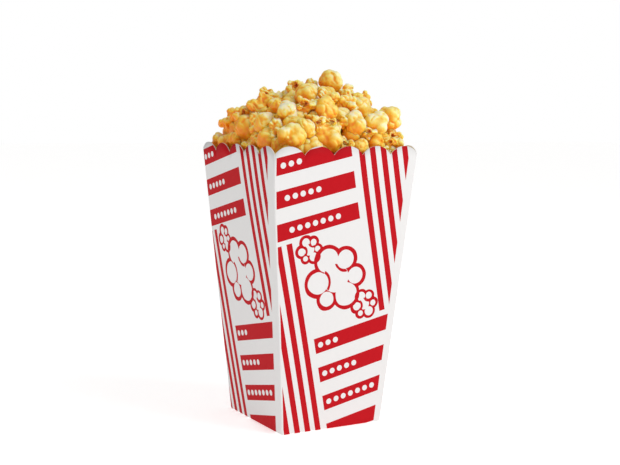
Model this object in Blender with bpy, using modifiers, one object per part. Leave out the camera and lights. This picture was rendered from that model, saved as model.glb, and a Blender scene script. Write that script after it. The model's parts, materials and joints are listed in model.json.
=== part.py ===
"""A square, tapered popcorn carton of folded paperboard, heaped with buttered popcorn.

Metres, +Z up, origin at the middle of the base. The carton has four equal panels with
scalloped tops. Its brightly lit panel faces -Y and the one beside it faces -X.
The popcorn fills the carton and stands in a dome above the rim.
"""

import math
import random

import bmesh
import bpy
from mathutils import Euler, Vector

# Carton, outer sizes
TOP_WIDTH = 0.115
BASE_WIDTH = 0.082
RIM_HEIGHT = 0.197  # to the valleys between the scallops
SCALLOPS = 5
SCALLOP_RISE = 0.006
CARD = 0.0006
FOLD_BOW = 0.0011  # the fold between the -X and -Y panels bellies out this far
FOLD_POWER = 3  # and the higher this is, the nearer to the rim it does so
SCALLOP_STEPS = 5
WALL_ROWS = 4

# Heap, above the rim's valleys: the dome on which the outer kernels have their centres
HEAP_HALF = 0.050
HEAP_START = 0.003
HEAP_RISE = 0.044
HEAP_POWER = 1.6
HEAP_ROUND = 0.35
CORE_STEPS = 12
CORE_DROP = 0.004  # the core's top lies this far under the kernels' centres
CORE_EDGE = 0.008  # the core meets the carton this far under the rim
CLEAR = 0.0003

# Kernels
MUSHROOM = "mushroom"
BUTTERFLY = "butterfly"
# One form is a union of balls about a middle ball, in shares of the kernel's width
FORMS = {
    MUSHROOM: {
        "shapes": 8,
        "balls": (6, 8),
        "middle": 0.36,
        "reach": (0.18, 0.25),
        "radius": (0.25, 0.31),
        "stretch": (1.25, 1.0, 0.85),
    },
    BUTTERFLY: {
        "shapes": 10,
        "balls": (5, 7),
        "middle": 0.28,
        "reach": (0.24, 0.32),
        "radius": (0.20, 0.27),
        "stretch": (1.2, 1.0, 0.75),
    },
}
GOLDEN_ANGLE = math.pi * (3 - math.sqrt(5))
BALL_SWAY = 0.35
LARGEST = 0.0200
SMALLEST = 0.0110
UNEVEN = 0.10
CLOSENESS = 0.375  # of two widths added up
SETTLE = 0.002  # kernels that aren't placed by eye lie this far under the dome
FIRST_SHAPE = 3  # the kernels take the shapes of their kind in turn, from this one
THROWS = 5000
HALVINGS = 16
SEED = 7

# The kernels that make the heap's outline and its lit side, placed by eye:
# millimetres to the right, to the back and above the rim, then the width
SHOWN = (
    (12, -8, 50, 21, MUSHROOM),
    (-14, -4, 46, 14, BUTTERFLY),
    (-5, -11, 44, 13, MUSHROOM),
    (22, -14, 42, 15, BUTTERFLY),
    (-16, -25, 40, 18, MUSHROOM),
    (-2, -32, 38, 15, BUTTERFLY),
    (-27, 14, 40, 13, BUTTERFLY),
    (-39, 1, 34, 21, BUTTERFLY),
    (-35, -34, 29, 17, MUSHROOM),
    (-23, -37, 33, 14, BUTTERFLY),
    (-10, -41, 31, 19, MUSHROOM),
    (9, -38, 34, 16, BUTTERFLY),
    (-44, 22, 26, 15, BUTTERFLY),
    (-46, 36, 21, 20, BUTTERFLY),
    (-47, -22, 21, 16, MUSHROOM),
    (32, -24, 38, 18, BUTTERFLY),
    (11, -47, 21, 19, MUSHROOM),
    (29, -46, 21, 19, MUSHROOM),
    (44, -41, 26, 17, MUSHROOM),
    (-40, -48, 12, 20, MUSHROOM),
    (-29, -47, 18, 15, MUSHROOM),
    (-10, -48, 12, 23, MUSHROOM),
    (-49, -30, 9, 17, MUSHROOM),
    (-50, 47, 10, 13, MUSHROOM),
    (12, -49, 5, 14, BUTTERFLY),
    (27, -49, 8, 13, BUTTERFLY),
    (46, -48, 7, 11, BUTTERFLY),
)


def width_at(height):
    """The carton's outer width at a height above the base."""
    return BASE_WIDTH + (TOP_WIDTH - BASE_WIDTH) * height / RIM_HEIGHT


def rim_points():
    """The scalloped rim of one panel, as (share of the width, rise above the valleys)."""
    chord = TOP_WIDTH / SCALLOPS
    radius = (chord * chord / 4 + SCALLOP_RISE**2) / (2 * SCALLOP_RISE)
    half_angle = math.asin(chord / 2 / radius)
    points = []
    for number in range(SCALLOPS * SCALLOP_STEPS + 1):
        lobe = min(number // SCALLOP_STEPS, SCALLOPS - 1)
        angle = half_angle * (2 * (number - lobe * SCALLOP_STEPS) / SCALLOP_STEPS - 1)
        across = (lobe + 0.5) / SCALLOPS - 0.5 + radius * math.sin(angle) / TOP_WIDTH
        rise = radius * math.cos(angle) - radius + SCALLOP_RISE
        points.append((across, rise))
    return points


def bow_out(point):
    """Moves a point of the wall towards -X by what the near fold bellies out there."""
    width = width_at(point.z)
    nearness = (0.5 - point.x / width) * (0.5 - point.y / width)
    level = min(point.z / RIM_HEIGHT, 1)
    point.x -= FOLD_BOW * nearness * math.sin(math.pi * level**FOLD_POWER)
    return point


def make_carton(collection):
    """Four tapered panels and a closed base of one paperboard, with a scalloped rim."""
    rim = rim_points()
    columns = len(rim) - 1
    mesh = bmesh.new()
    for side in range(4):
        turn = Euler((0, 0, side * math.pi / 2)).to_matrix()
        grid = bmesh.ops.create_grid(mesh, x_segments=columns, y_segments=WALL_ROWS, size=1)
        for vertex in grid["verts"]:
            across, rise = rim[round((vertex.co.x + 1) / 2 * columns)]
            height = (vertex.co.y + 1) / 2 * (RIM_HEIGHT + rise)
            width = width_at(height)
            vertex.co = bow_out(turn @ Vector((across * width, -width / 2, height)))
    bmesh.ops.remove_doubles(mesh, verts=mesh.verts, dist=CARD / 10)
    base = [edge for edge in mesh.edges if max(vertex.co.z for vertex in edge.verts) < CARD]
    bmesh.ops.contextual_create(mesh, geom=base)
    bmesh.ops.recalc_face_normals(mesh, faces=mesh.faces)
    carton = new_object("carton", mesh, collection, paper_material())
    wall = carton.modifiers.new("card", "SOLIDIFY")
    wall.thickness = CARD
    wall.offset = -1
    wall.use_even_offset = True
    return carton


def heap_height(x, y):
    """The height of the dome on which the outer kernels have their centres."""
    level = (1 - abs(x / HEAP_HALF) ** HEAP_POWER) * (1 - abs(y / HEAP_HALF) ** HEAP_POWER)
    return RIM_HEIGHT + HEAP_START + HEAP_RISE * max(level, 0) ** HEAP_ROUND


def inner_half(height):
    """Half the clear width inside the carton, short of the card by the gap."""
    slope = (TOP_WIDTH - BASE_WIDTH) / 2 / RIM_HEIGHT
    return width_at(min(height, RIM_HEIGHT)) / 2 - (CARD + CLEAR) * math.hypot(1, slope)


def make_core(collection):
    """The heap's inside: it fills the carton and carries the kernels on its domed top."""
    edge_height = RIM_HEIGHT - CORE_EDGE
    edge_half = inner_half(edge_height)
    rise = heap_height(0, 0) - CORE_DROP - edge_height
    base_height = CARD + CLEAR
    mesh = bmesh.new()
    bmesh.ops.create_grid(mesh, x_segments=CORE_STEPS, y_segments=CORE_STEPS, size=1)
    for vertex in mesh.verts:
        x = math.sin(vertex.co.x * math.pi / 2)
        y = math.sin(vertex.co.y * math.pi / 2)
        level = (1 - abs(x) ** HEAP_POWER) * (1 - abs(y) ** HEAP_POWER)
        vertex.co = (x * edge_half, y * edge_half, edge_height + rise * max(level, 0) ** HEAP_ROUND)
    edges = [edge for edge in mesh.edges if edge.is_boundary]
    lower = bmesh.ops.extrude_edge_only(mesh, edges=edges)["geom"]
    shrink = inner_half(base_height) / edge_half
    for vertex in (item for item in lower if isinstance(item, bmesh.types.BMVert)):
        vertex.co = (vertex.co.x * shrink, vertex.co.y * shrink, base_height)
    base = [item for item in lower if isinstance(item, bmesh.types.BMEdge)]
    bmesh.ops.contextual_create(mesh, geom=base)
    bmesh.ops.recalc_face_normals(mesh, faces=mesh.faces)
    return new_object("popcorn", mesh, collection, popcorn_material())


def direction_of(height, bearing):
    """The unit vector with this height, from -1 to 1, at this bearing."""
    ring = math.sqrt(1 - height * height)
    return Vector((ring * math.cos(bearing), ring * math.sin(bearing), height))


def kernel_balls(kind, number):
    """The balls whose union is one popped kernel of about unit width, as (centre, radius)."""
    form = FORMS[kind]
    draw = random.Random(f"{kind} {number}")
    count = draw.randint(*form["balls"])
    balls = [(Vector((0, 0, 0)), form["middle"])]
    for step in range(count):
        angle = step * GOLDEN_ANGLE + draw.uniform(-BALL_SWAY, BALL_SWAY)
        direction = direction_of(1 - 2 * (step + 0.5) / count, angle)
        centre = direction * Vector(form["stretch"]) * draw.uniform(*form["reach"])
        balls.append((centre, draw.uniform(*form["radius"])))
    return balls


def reach_of(balls, direction):
    """How far a kernel's surface is from its centre in one direction."""
    furthest = 0
    for centre, radius in balls:
        along = direction.dot(centre)
        inside = radius * radius - centre.length_squared + along * along
        if inside > 0:
            furthest = max(furthest, along + math.sqrt(inside))
    return furthest


def dome_point(direction, sunk):
    """The point this far under the dome, in one direction from the middle of the rim."""
    near, far = 0, TOP_WIDTH
    for _ in range(HALVINGS):
        distance = (near + far) / 2
        point = direction * distance + Vector((0, 0, RIM_HEIGHT))
        within = max(abs(point.x), abs(point.y)) < HEAP_HALF
        if within and point.z < heap_height(point.x, point.y):
            near = distance
        else:
            far = distance
    return direction * (near - sunk) + Vector((0, 0, RIM_HEIGHT))


def heap_kernels():
    """Every outer kernel, as (centre, width, kind, number of its shape, turn)."""
    draw = random.Random(SEED)
    kernels = []
    for x, y, z, width, kind in SHOWN:
        centre = Vector((x / 1000, y / 1000, RIM_HEIGHT + z / 1000))
        kernels.append((centre, width / 1000, kind))
    for throw in range(THROWS):
        width = LARGEST + (SMALLEST - LARGEST) * throw / THROWS
        width *= draw.uniform(1 - UNEVEN, 1 + UNEVEN)
        centre = dome_point(direction_of(draw.random(), draw.uniform(-math.pi, math.pi)), SETTLE)
        kind = draw.choice((MUSHROOM, BUTTERFLY, BUTTERFLY))
        if all((centre - other).length > CLOSENESS * (width + size) for other, size, _ in kernels):
            kernels.append((centre, width, kind))
    turned = []
    for order, (centre, width, kind) in enumerate(kernels):
        number = (order + FIRST_SHAPE) % FORMS[kind]["shapes"]
        turn = Euler([draw.uniform(-math.pi, math.pi) for _ in range(3)])
        turned.append((centre, width, kind, number, turn))
    return turned


def make_kernel(name, centre, width, kind, number, turn, collection):
    """One popped kernel of few sides, moved inwards where it would meet the card."""
    balls = kernel_balls(kind, number)
    mesh = bmesh.new()
    bmesh.ops.create_icosphere(mesh, subdivisions=2, radius=1)
    matrix = turn.to_matrix()
    for vertex in mesh.verts:
        direction = vertex.co.normalized()
        vertex.co = centre + matrix @ (direction * reach_of(balls, direction) * width)
    limit = inner_half(RIM_HEIGHT)
    low = [min(vertex.co[axis] for vertex in mesh.verts) for axis in range(2)]
    high = [max(vertex.co[axis] for vertex in mesh.verts) for axis in range(2)]
    move = [max(0, -limit - low[axis]) - max(0, high[axis] - limit) for axis in range(2)]
    bmesh.ops.translate(mesh, verts=mesh.verts, vec=(move[0], move[1], 0))
    return new_object(name, mesh, collection, popcorn_material())


def whole_body_only(mesh):
    """Drops sealed hollows and loose scraps, leaving the one outer body."""
    unseen = set(mesh.verts)
    bodies = []
    while unseen:
        body = set()
        front = [unseen.pop()]
        while front:
            vertex = front.pop()
            body.add(vertex)
            for edge in vertex.link_edges:
                other = edge.other_vert(vertex)
                if other in unseen:
                    unseen.remove(other)
                    front.append(other)
        bodies.append(body)
    largest = max(bodies, key=len)
    scraps = [vertex for body in bodies if body is not largest for vertex in body]
    bmesh.ops.delete(mesh, geom=scraps, context="VERTS")


def fuse(core, kernels):
    """Joins the kernels to the core by one union, and applies it."""
    union = core.modifiers.new("kernels", "BOOLEAN")
    union.operation = "UNION"
    union.operand_type = "COLLECTION"
    union.collection = kernels
    union.solver = "EXACT"
    bpy.context.view_layer.update()
    fused = bpy.data.meshes.new_from_object(core.evaluated_get(bpy.context.evaluated_depsgraph_get()))
    core.modifiers.clear()
    mesh = bmesh.new()
    mesh.from_mesh(fused)
    whole_body_only(mesh)
    bmesh.ops.triangulate(mesh, faces=mesh.faces)
    mesh.to_mesh(core.data)
    mesh.free()
    bpy.data.meshes.remove(fused)
    for kernel in list(kernels.objects):
        bpy.data.objects.remove(kernel)


def new_object(name, mesh, collection, material):
    """Makes an object of a mesh in hand, in a collection, with its material."""
    data = bpy.data.meshes.new(name)
    mesh.to_mesh(data)
    mesh.free()
    data.materials.append(material)
    item = bpy.data.objects.new(name, data)
    collection.objects.link(item)
    return item


def material_of(name, colour, roughness):
    """A plain material, made once."""
    material = bpy.data.materials.get(name) or bpy.data.materials.new(name)
    material.use_nodes = True
    shader = material.node_tree.nodes["Principled BSDF"]
    shader.inputs["Base Color"].default_value = (*colour, 1)
    shader.inputs["Roughness"].default_value = roughness
    return material


def paper_material():
    return material_of("printed_paperboard", (0.85, 0.84, 0.82), 0.5)


def popcorn_material():
    return material_of("buttered_popcorn", (0.85, 0.55, 0.17), 0.6)


def new_collection(name):
    """An empty collection in the scene."""
    collection = bpy.data.collections.new(name)
    bpy.context.scene.collection.children.link(collection)
    return collection


def build():
    """Clears the scene and makes the carton and its popcorn."""
    for item in list(bpy.data.objects):
        bpy.data.objects.remove(item)
    parts = new_collection("popcorn_carton")
    kernels = new_collection("kernels")
    make_carton(parts)
    core = make_core(parts)
    for number, kernel in enumerate(heap_kernels()):
        make_kernel(f"kernel_{number}", *kernel, kernels)
    fuse(core, kernels)


build()
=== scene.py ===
"""A square paperboard carton heaped with buttered popcorn: the finish of every surface."""

import json
import math
import random

import bmesh
import bpy
from mathutils import Euler, Matrix, Vector

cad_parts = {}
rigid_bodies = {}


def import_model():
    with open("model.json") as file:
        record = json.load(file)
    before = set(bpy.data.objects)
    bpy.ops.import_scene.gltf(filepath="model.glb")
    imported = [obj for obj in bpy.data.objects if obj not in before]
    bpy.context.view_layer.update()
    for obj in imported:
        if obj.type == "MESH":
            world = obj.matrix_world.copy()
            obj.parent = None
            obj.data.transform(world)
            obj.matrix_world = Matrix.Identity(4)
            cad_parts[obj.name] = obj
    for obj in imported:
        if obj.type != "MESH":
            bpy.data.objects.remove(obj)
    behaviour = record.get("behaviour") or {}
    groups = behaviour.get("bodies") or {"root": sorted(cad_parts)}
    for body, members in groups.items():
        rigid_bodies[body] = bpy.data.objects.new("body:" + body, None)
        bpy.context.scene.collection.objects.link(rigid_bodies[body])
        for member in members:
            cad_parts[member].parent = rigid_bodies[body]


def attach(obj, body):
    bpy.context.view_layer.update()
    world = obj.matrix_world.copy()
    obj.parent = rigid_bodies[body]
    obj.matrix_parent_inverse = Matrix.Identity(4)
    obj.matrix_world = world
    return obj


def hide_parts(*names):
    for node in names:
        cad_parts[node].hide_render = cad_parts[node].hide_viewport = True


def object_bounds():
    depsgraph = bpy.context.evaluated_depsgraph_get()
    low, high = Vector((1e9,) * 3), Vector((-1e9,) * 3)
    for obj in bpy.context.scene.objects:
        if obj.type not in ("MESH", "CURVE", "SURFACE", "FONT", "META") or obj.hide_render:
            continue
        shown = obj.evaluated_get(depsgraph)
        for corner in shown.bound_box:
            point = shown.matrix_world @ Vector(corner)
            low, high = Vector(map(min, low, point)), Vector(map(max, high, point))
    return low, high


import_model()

cad_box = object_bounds()
scene = bpy.context.scene


def linear(hex_colour):
    """An sRGB hex colour as the linear values that a shader takes."""
    parts = [int(hex_colour[start:start + 2], 16) / 255 for start in (1, 3, 5)]
    return [c / 12.92 if c <= 0.04045 else ((c + 0.055) / 1.055) ** 2.4 for c in parts] + [1]


def node(tree, kind, inputs=None, **settings):
    """Adds a node with its settings, and fills or links the inputs that are given."""
    made = tree.nodes.new(kind)
    for name, value in settings.items():
        setattr(made, name, value)
    for key, value in (inputs or {}).items():
        if isinstance(value, bpy.types.NodeSocket):
            tree.links.new(value, made.inputs[key])
        else:
            made.inputs[key].default_value = value
    return made


# The view and the light: a long lens level with the rim, off the carton's front left corner, and a
# soft lamp off its front right, so that the wide panel is bright and the one beside it is in shade.
CAMERA_PLACE = (-0.4063, -0.7149, 0.2280)
CAMERA_AZIMUTH = math.radians(-29.80)
CAMERA_DIP = math.radians(6.28)
CAMERA_ROLL = math.radians(0.76)
FOCAL_LENGTH = 1121.2  # in pixels of the photograph
PHOTO_WIDTH = 620
SENSOR_WIDTH = 36
KEY_PLACE = Vector((0.58, -0.85, 1.05))
KEY_TARGET = Vector((0, 0, 0.16))
KEY_SIZE = 0.75
KEY_POWER = 7.6
SKY_LIGHT = 0.53
FLOOR_REACH = 6.0
FLOOR_COLOUR = "#F7F6F5"
FLOOR_GLOW = 0.50

camera = bpy.data.objects.new("camera", bpy.data.cameras.new("camera"))
camera.data.lens = FOCAL_LENGTH * SENSOR_WIDTH / PHOTO_WIDTH
camera.data.sensor_width = SENSOR_WIDTH
aim = Matrix.Rotation(CAMERA_AZIMUTH, 4, "Z") @ Matrix.Rotation(math.pi / 2 - CAMERA_DIP, 4, "X")
camera.matrix_world = Matrix.Translation(CAMERA_PLACE) @ aim @ Matrix.Rotation(CAMERA_ROLL, 4, "Z")
scene.collection.objects.link(camera)
scene.camera = camera
scene.view_settings.view_transform = "Standard"

key = bpy.data.objects.new("key_light", bpy.data.lights.new("key_light", "AREA"))
key.data.size = KEY_SIZE
key.data.energy = KEY_POWER
key.location = KEY_PLACE
key.rotation_euler = (KEY_TARGET - KEY_PLACE).to_track_quat("-Z", "Y").to_euler()
scene.collection.objects.link(key)

scene.world = bpy.data.worlds.new("white_studio")
scene.world.use_nodes = True
sky = scene.world.node_tree
sky.nodes.clear()
ray = node(sky, "ShaderNodeLightPath")
seen = ray.outputs["Is Camera Ray"]
strength = node(sky, "ShaderNodeMapRange", {"Value": seen, "To Min": SKY_LIGHT, "To Max": 1.0})
white = node(sky, "ShaderNodeBackground", {"Color": (1, 1, 1, 1), "Strength": strength.outputs["Result"]})
node(sky, "ShaderNodeOutputWorld", {"Surface": white.outputs["Background"]})

# The floor: plain white paper, quite matt, and bright enough to show no horizon behind the carton.
floor_mesh = bmesh.new()
bmesh.ops.create_grid(floor_mesh, x_segments=1, y_segments=1, size=FLOOR_REACH)
floor = bpy.data.objects.new("floor", bpy.data.meshes.new("floor"))
floor_mesh.to_mesh(floor.data)
floor_mesh.free()
floor_paper = bpy.data.materials.new("white_paper_sweep")
floor_paper.use_nodes = True
floor_shader = floor_paper.node_tree.nodes["Principled BSDF"]
floor_shader.inputs["Base Color"].default_value = linear(FLOOR_COLOUR)
floor_shader.inputs["Roughness"].default_value = 0.9
floor_shader.inputs["Emission Color"].default_value = (1, 1, 1, 1)
floor_shader.inputs["Emission Strength"].default_value = FLOOR_GLOW
floor.data.materials.append(floor_paper)
scene.collection.objects.link(floor)


# The carton's wall: four tapered panels of one sheet of 0.6 mm paperboard, die-cut to scallops along
# the top, creased and folded round a square and glued down one corner. Its print is on the outside.
TOP_WIDTH = 0.115
BASE_WIDTH = 0.082
RIM_HEIGHT = 0.197
SCALLOPS = 5
SCALLOP_RISE = 0.006
SCALLOP_CHORD = TOP_WIDTH / SCALLOPS
SCALLOP_RADIUS = (SCALLOP_CHORD * SCALLOP_CHORD / 4 + SCALLOP_RISE**2) / (2 * SCALLOP_RISE)
LAST_SCALLOP = SCALLOPS - 1e-6  # just short of the panel's edge, which then belongs to its last scallop
CARD = 0.0006
WELD = CARD / 50  # points that are nearer than this are one
FOLD_RADIUS = 0.0008
FOLD_STEPS = 3
FOLD_BOW = 0.0011
FOLD_POWER = 3
PANEL_SWELL = 0.0003
LOBE_STEPS = 12
WALL_ROWS = 28
BASE_FOLD_STEPS = 3
PRINT_SHIFTS = ((0, 0), (0.001, 0), (-0.001, 0.0005), (0.0030, 0.0008))  # each panel's, right and up
PRINT_STRETCH = (1.0, 1.0, 1.0, 0.990)
GLUED_SIDE = 1  # the panel whose cut edge shows at the glued corner
UV_METRE = 10.0  # UV units in a metre of card
SLOPE = (TOP_WIDTH - BASE_WIDTH) / 2 / RIM_HEIGHT
SLANT = math.hypot(1, SLOPE)  # the card's length for each unit of height


def width_at(height):
    """The carton's outer width at a height above the base."""
    return BASE_WIDTH + (TOP_WIDTH - BASE_WIDTH) * height / RIM_HEIGHT


def scallop_rise(share):
    """The rim's height above its valleys, at a share of the panel's width from its middle."""
    lobe = min(max((share + 0.5) * SCALLOPS, 0), LAST_SCALLOP)
    off = (lobe % 1 - 0.5) * SCALLOP_CHORD
    return math.sqrt(SCALLOP_RADIUS * SCALLOP_RADIUS - off * off) - SCALLOP_RADIUS + SCALLOP_RISE


def panel_columns():
    """Each column as (share of the width, step towards the middle, depth behind the flat)."""
    folds = []
    for step in range(FOLD_STEPS + 1):
        angle = math.pi / 4 * (1 - step / FOLD_STEPS)
        folds.append((FOLD_RADIUS * (1 - math.sin(angle)), FOLD_RADIUS * (1 - math.cos(angle))))
    half_angle = math.asin(SCALLOP_CHORD / 2 / SCALLOP_RADIUS)
    middles = []
    for number in range(1, SCALLOPS * LOBE_STEPS):
        lobe = number // LOBE_STEPS
        angle = half_angle * (2 * (number - lobe * LOBE_STEPS) / LOBE_STEPS - 1)
        off = SCALLOP_RADIUS * math.sin(angle) / TOP_WIDTH
        middles.append(((lobe + 0.5) / SCALLOPS - 0.5 + off, 0, 0))
    left = [(-0.5, step, depth) for step, depth in folds]
    right = [(0.5, -step, depth) for step, depth in reversed(folds)]
    return left + middles + right


def wall_levels():
    """Each row as (share of the height, depth behind the flat), from the fold at the base up."""
    folds = []
    for step in range(BASE_FOLD_STEPS + 1):
        angle = math.pi / 2 * step / (BASE_FOLD_STEPS + 1)
        height = FOLD_RADIUS * (1 - math.cos(angle))
        folds.append((height / RIM_HEIGHT, FOLD_RADIUS * (1 - math.sin(angle))))
    first = FOLD_RADIUS / RIM_HEIGHT
    flats = [(first + (1 - first) * row / WALL_ROWS, 0) for row in range(WALL_ROWS + 1)]
    return folds + flats


def wall_point(side, column, level, base_depth):
    """A point of the wall's outer face, and its place on the flat card."""
    share, step, depth = column
    rise = scallop_rise(share + step / TOP_WIDTH)
    height = level * (RIM_HEIGHT + rise * level)
    width = width_at(height) - 2 * base_depth
    across = share * width + step
    swell = PANEL_SWELL * math.sin(math.pi * min(level, 1)) * (1 - (2 * across / width) ** 2)
    turn = Matrix.Rotation(side * math.pi / 2, 3, "Z")
    point = turn @ Vector((across, depth - swell - width / 2, height))
    nearness = (0.5 - point.x / width) * (0.5 - point.y / width)
    upness = min(height / RIM_HEIGHT, 1)
    point.x -= FOLD_BOW * nearness * math.sin(math.pi * upness**FOLD_POWER)
    shift_right, shift_up = PRINT_SHIFTS[side]
    flat = (across + shift_right, height * SLANT * PRINT_STRETCH[side] + shift_up)
    return point, flat


COLUMNS = panel_columns()
wall_mesh = bmesh.new()
print_map = wall_mesh.loops.layers.uv.new("print")
for side in range(4):
    rows = []
    for level, base_depth in wall_levels():
        line = []
        for column in COLUMNS:
            point, flat = wall_point(side, column, level, base_depth)
            line.append((wall_mesh.verts.new(point), Vector(flat) * UV_METRE))
        rows.append(line)
    for low, high in zip(rows, rows[1:]):
        for left in range(len(COLUMNS) - 1):
            corners = (low[left], low[left + 1], high[left + 1], high[left])
            face = wall_mesh.faces.new([vertex for vertex, _ in corners])
            face.smooth = True
            if side == GLUED_SIDE and left == len(COLUMNS) - 2:
                face.material_index = 1
            for loop, (_, flat) in zip(face.loops, corners):
                loop[print_map].uv = flat
bmesh.ops.remove_doubles(wall_mesh, verts=wall_mesh.verts, dist=WELD)
wall = bpy.data.objects.new("printed_wall", bpy.data.meshes.new("printed_wall"))
wall_mesh.to_mesh(wall.data)
wall_mesh.free()
scene.collection.objects.link(wall)

board = wall.modifiers.new("board", "SOLIDIFY")
board.thickness = CARD
board.offset = -1
board.use_even_offset = True
board.material_offset = 1
board.material_offset_rim = 1

# Coated paperboard, offset printed in one red: a smooth, faintly glossy face, with fine mottle in the
# ink. Its bars and stripes follow one upright grid, which is turned on the sheet.
RED_INK = "#C21A23"
THIN_RED_INK = "#B9161F"
COATED_WHITE = "#E9E7E6"
DULL_WHITE = "#E5E4E3"
INK_MOTTLE = 0.0025
CARD_FIBRE = 0.000667
GRID_TURN = math.radians(12.6)
# The print's sizes are millimetres on the flat sheet, from the middle of the panel's base
UPPER_BARS = {"start": 146.4, "pitch": 22.5, "thick": 12.0, "top": 212.9, "end": 46.0}
LOWER_BARS = {"start": -6.3, "pitch": 21.9, "thick": 11.3, "top": 71.5, "from": -4.1}
UPPER_BULBS = {"above": 146.4, "from": -10.5, "most": 7}
LOWER_BULBS = {"above": 14.6, "from": -2.5, "most": 9}
UPPER_STRIPES = {"start": 51.6, "pitch": 8.85, "wide": 4.6, "from": 74.8}
LOWER_STRIPES = {"start": -9.1, "pitch": 8.2, "wide": 4.4, "to": 143.2, "last": -40.0}
LEFT_MARGIN = (-39.6, 0.0833)  # at the base, and its slope up the card
RIGHT_MARGIN = (35.4, 0.0765)
BULB_PITCH = 6.1
BULB_RADIUS = 2.05
BULBS_FEWER = 2  # in each bar than in the one below it
BRUSH_LINE = 2.8
BRUSH_SWAY = 11.11
THINNEST_LINE = 0.2  # of the brush line, as the next
LINE_SWELL = 0.6
SMALL_WEIGHT = 0.8
ARC_WEIGHT = 0.7
ARC_INSET = 0.5
# Popped kernels in outline: (along, across, size), each a ring of bulges round a middle one
DRAWN_KERNELS = ((20.0, 109.5, 1.25), (3.0, 135.0, 0.52), (40.0, 84.0, 0.56))
DRAWN_BULGES = (
    (-3, 11, 8),
    (8, 9, 6.5),
    (12.5, -2, 6),
    (5, -11, 8),
    (-7.5, -10.5, 5.5),
    (-11.5, 0, 7.5),
    (0, 0, 9.5),
)
DRAWN_ARCS = ((1, 6), (5, 6))  # the first bulge's edge, where it lies within the second

card_print = bpy.data.materials.new("offset_printed_coated_paperboard")
card_print.use_nodes = True
ink = card_print.node_tree
shader = ink.nodes["Principled BSDF"]
flat = node(ink, "ShaderNodeUVMap", uv_map="print").outputs["UV"]
flat_mm = node(ink, "ShaderNodeVectorMath", {0: flat, "Scale": 1000 / UV_METRE}, operation="SCALE")
grid = node(ink, "ShaderNodeVectorRotate", {
    "Vector": flat_mm.outputs[0], "Angle": -GRID_TURN,
}, rotation_type="Z_AXIS").outputs[0]
flat_xy = node(ink, "ShaderNodeSeparateXYZ", {0: flat_mm.outputs[0]})
grid_xy = node(ink, "ShaderNodeSeparateXYZ", {0: grid})
x_mm = flat_xy.outputs["X"]
y_mm = flat_xy.outputs["Y"]
along = grid_xy.outputs["X"]
across = grid_xy.outputs["Y"]


def where(*limits):
    """1 where every limit holds, each as (value, GREATER_THAN or LESS_THAN, limit), and else 0."""
    held = 1.0
    for value, side, limit in limits:
        kept = node(ink, "ShaderNodeMath", {0: value, 1: limit}, operation=side).outputs[0]
        held = node(ink, "ShaderNodeMath", {0: held, 1: kept}, operation="MULTIPLY").outputs[0]
    return held


def any_of(marks):
    """1 where at least one of the marks is."""
    inked = 0.0
    for mark in marks:
        inked = node(ink, "ShaderNodeMath", {0: inked, 1: mark}, operation="MAXIMUM").outputs[0]
    return inked


def into_pitch(place, marks, sense=1):
    """How far into its own pitch a place lies, counted from the first bar or stripe in one sense."""
    start = -sense * marks["start"]
    past = node(ink, "ShaderNodeMath", {0: place, 1: sense, 2: start}, operation="MULTIPLY_ADD")
    phase = node(ink, "ShaderNodeMath", {
        0: past.outputs[0], 1: marks["pitch"],
    }, operation="FLOORED_MODULO")
    return phase.outputs[0]


def bulbs(bars, phase, run):
    """A run of round dots along each bar, as the bulbs of a cinema sign, with fewer each bar up."""
    up = node(ink, "ShaderNodeMath", {0: phase, 1: bars["thick"] / 2}, operation="SUBTRACT")
    beyond = node(ink, "ShaderNodeMath", {0: along, 1: run["from"]}, operation="SUBTRACT").outputs[0]
    pitched = node(ink, "ShaderNodeMath", {0: beyond, 1: BULB_PITCH}, operation="FLOORED_MODULO")
    sideways = node(ink, "ShaderNodeMath", {0: pitched.outputs[0], 1: BULB_PITCH / 2}, operation="SUBTRACT")
    off = node(ink, "ShaderNodeCombineXYZ", {"X": sideways.outputs[0], "Y": up.outputs[0]})
    apart = node(ink, "ShaderNodeVectorMath", {0: off.outputs[0]}, operation="LENGTH")
    risen = node(ink, "ShaderNodeMath", {0: across, 1: bars["start"]}, operation="SUBTRACT")
    bars_up = node(ink, "ShaderNodeMath", {0: risen.outputs[0], 1: bars["pitch"]}, operation="DIVIDE")
    row = node(ink, "ShaderNodeMath", {0: bars_up.outputs[0]}, operation="FLOOR")
    length = node(ink, "ShaderNodeMath", {
        0: row.outputs[0], 1: -BULBS_FEWER * BULB_PITCH, 2: run["most"] * BULB_PITCH,
    }, operation="MULTIPLY_ADD")
    return where(
        (apart.outputs["Value"], "LESS_THAN", BULB_RADIUS),
        (across, "GREATER_THAN", run["above"]),
        (beyond, "GREATER_THAN", 0.0),
        (beyond, "LESS_THAN", length.outputs[0]),
    )


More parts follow.
